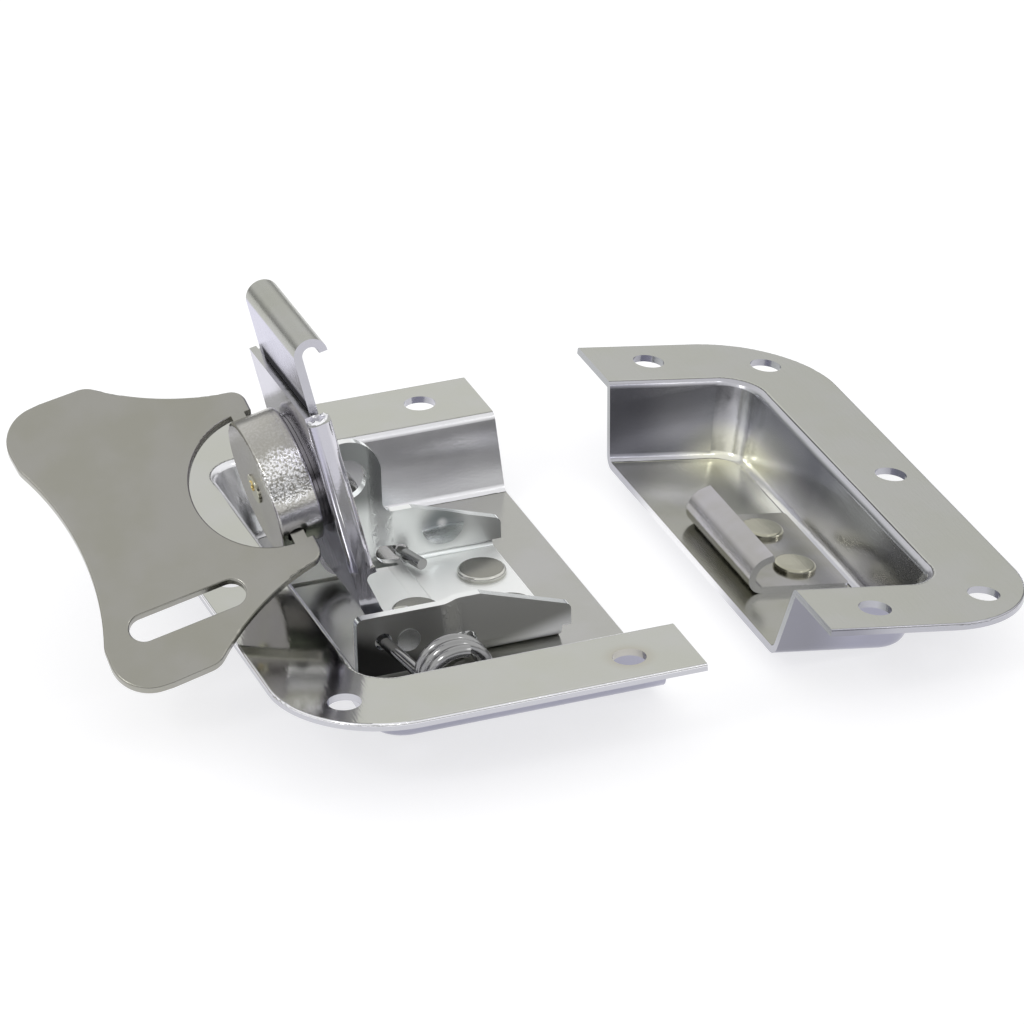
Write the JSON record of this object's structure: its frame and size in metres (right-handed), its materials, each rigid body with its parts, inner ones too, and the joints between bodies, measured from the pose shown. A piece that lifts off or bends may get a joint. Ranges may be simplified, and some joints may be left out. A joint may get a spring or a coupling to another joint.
{
  "type": "recessed butterfly latch",
  "caption": "Recessed butterfly latch in zinc-plated pressed steel, shown open: dished latch half with raised carrier, cam and twist handle, and dished strike half with keeper.",
  "frame": {"origin": "midway between the latch half's two screw holes beside the parting line, on the flange top face", "axes": "+X runs along the latch's length, across the parting line from the latch half to the strike half; +Y runs along the parting line away from the viewer; +Z points out of the panel"},
  "size_m": [0.1513, 0.112, 0.061],
  "materials": {
    "zinc_flat": "satin bright zinc plating on pressed sheet",
    "zinc_bright": "mirror-bright zinc plating on bent and turned parts",
    "zinc_cam": "bright zinc plating with a speckled cast side",
    "rivet_steel": "plated rivet heads, slightly dull",
    "spring_wire": "drawn and plated spring wire"
  },
  "bodies": {
    "base": {"latch_dish": "zinc_flat", "base_bracket": "zinc_bright", "bracket_rivets": "rivet_steel", "pivot_rivets": "rivet_steel", "torsion_spring_back": "spring_wire", "torsion_spring_front": "spring_wire"},
    "carrier": {"carrier": "zinc_bright"},
    "hook": {"hook_plate": "zinc_bright"},
    "cam": {"eccentric_cam": "zinc_cam", "crank_spindle": "rivet_steel", "cam_washer": "zinc_flat", "crank_washer": "zinc_flat"},
    "handle": {"butterfly_handle": "zinc_flat"},
    "strike": {"strike_dish": "zinc_flat", "keeper": "zinc_flat", "keeper_rivets": "rivet_steel"}
  },
  "joints": [
    {"name": "carrier_lift", "type": "hinge", "parent": "base", "child": "carrier", "pos_m": [-0.0259, 0, -0.0067], "axis": [0, 1, 0], "range_deg": [0, 104], "stiffness_Nm_per_rad": 0.03, "springref_deg": -40.11},
    {"name": "cam_turn", "type": "hinge", "parent": "carrier", "child": "cam", "pos_m": [-0.03144, 0, 0.01829], "axis": [-0.9763, 0, -0.2164], "range_deg": [0, 211]},
    {"name": "hook_slide", "type": "slide", "parent": "carrier", "child": "hook", "axis": [0.2164, 0, -0.9763], "range_m": [0, 0.0078]},
    {"name": "handle_fold", "type": "hinge", "parent": "cam", "child": "handle", "pos_m": [-0.04237, -0.00052, 0.01675], "axis": [-0.1115, 0.8572, 0.5028], "range_deg": [0, 90]},
    {"name": "lid_swing", "type": "hinge", "parent": "base", "child": "strike", "pos_m": [0.0321, 0, -0.1325], "axis": [0, -1, 0], "range_deg": [-75, 8.8]}
  ],
  "couplings": [
    {"joint": "cam_turn", "follows": "carrier_lift", "ratio": 2.0288},
    {"joint": "hook_slide", "follows": "carrier_lift", "m_per_rad": 0.0042972}
  ]
}
